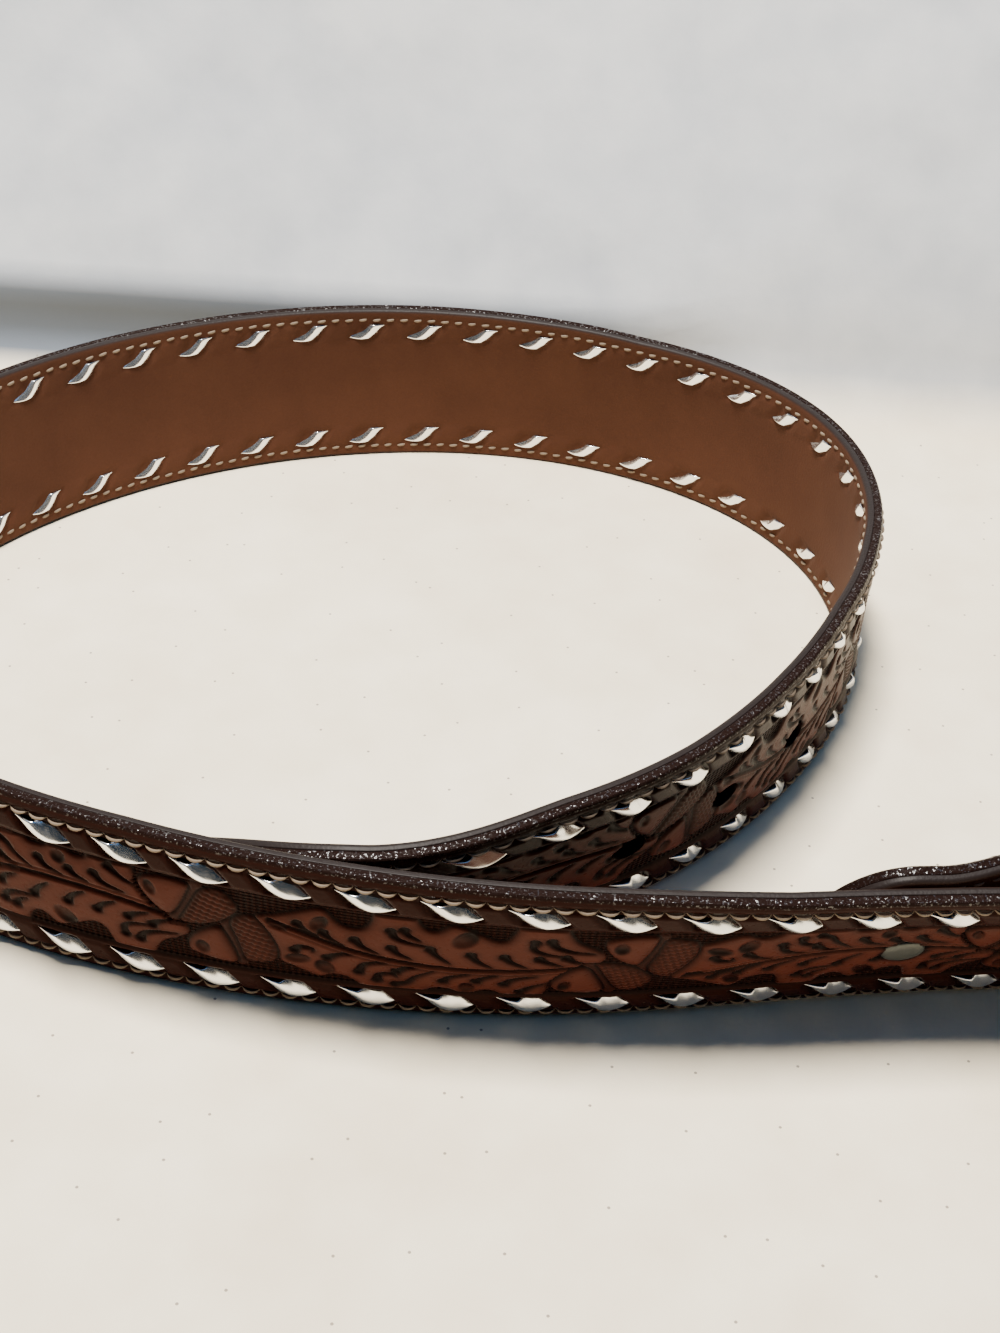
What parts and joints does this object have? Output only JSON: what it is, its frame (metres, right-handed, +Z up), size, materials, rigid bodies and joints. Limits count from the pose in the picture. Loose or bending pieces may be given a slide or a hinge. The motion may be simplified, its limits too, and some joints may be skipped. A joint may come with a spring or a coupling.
{
  "type": "belt",
  "caption": "Western leather belt standing on edge in an open loop: tooled face, buckstitched silver lace along both edges, snap-closed folded end with a plain buckle, oval adjusting holes",
  "frame": {"origin": "under the middle of the belt's bounding box, on the floor that its lower edge stands on", "axes": "+X runs from the loop to the buckle, +Y runs from the front strand to the rear of the loop, +Z is up across the strap's width"},
  "size_m": [0.3352, 0.2266, 0.0481],
  "materials": {
    "tooled_leather": "tooled and antiqued, satin",
    "lining_leather": "soft matt, suede-like",
    "silver_lace": "silver-faced flat lace, glossy",
    "snap_metal": "dark gunmetal, satin",
    "buckle_metal": "plain nickel, satin"
  },
  "bodies": {
    "root": {"outer_strap": "tooled_leather", "lining": "lining_leather", "upper_lace": "silver_lace", "lower_lace": "silver_lace", "upper_lace_back": "silver_lace", "lower_lace_back": "silver_lace", "snap": "snap_metal", "buckle": "buckle_metal"}
  },
  "joints": []
}
